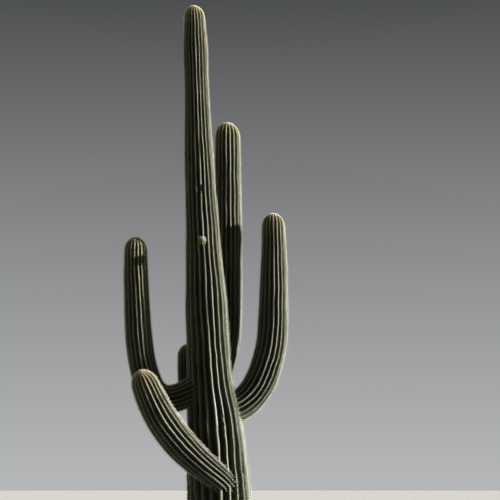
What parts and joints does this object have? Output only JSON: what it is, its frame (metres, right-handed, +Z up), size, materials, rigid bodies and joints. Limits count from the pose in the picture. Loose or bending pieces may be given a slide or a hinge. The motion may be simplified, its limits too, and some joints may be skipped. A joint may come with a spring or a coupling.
{
  "type": "saguaro cactus",
  "caption": "Tall saguaro cactus with a ribbed, tapering trunk on a flared foot, big arms that turn upwards, a short arm and a bud, rooted in level ground.",
  "frame": {"origin": "middle of the flat cut under the trunk, at ground level", "axes": "+Z up the trunk, +X towards the right arm, -Y towards the side with the front arm and the bud"},
  "size_m": [1.7871, 1.3513, 6.71],
  "materials": {
    "trunk_skin": "waxy grey-green skin over a grey-brown corky foot, matt",
    "arm_skin": "waxy grey-green skin, matt to low sheen",
    "young_skin": "fresh green skin, low sheen",
    "spines": "straw to grey spines on felted pads, matt"
  },
  "bodies": {
    "root": {"trunk": "trunk_skin", "arm_right_elbow": "arm_skin", "arm_right_upper": "arm_skin", "arm_left_elbow": "arm_skin", "arm_left_upper": "arm_skin", "arm_back_elbow": "arm_skin", "arm_back_upper": "arm_skin", "arm_front_elbow": "arm_skin", "arm_front_upper": "arm_skin", "arm_short": "arm_skin", "bud": "young_skin"}
  },
  "joints": []
}
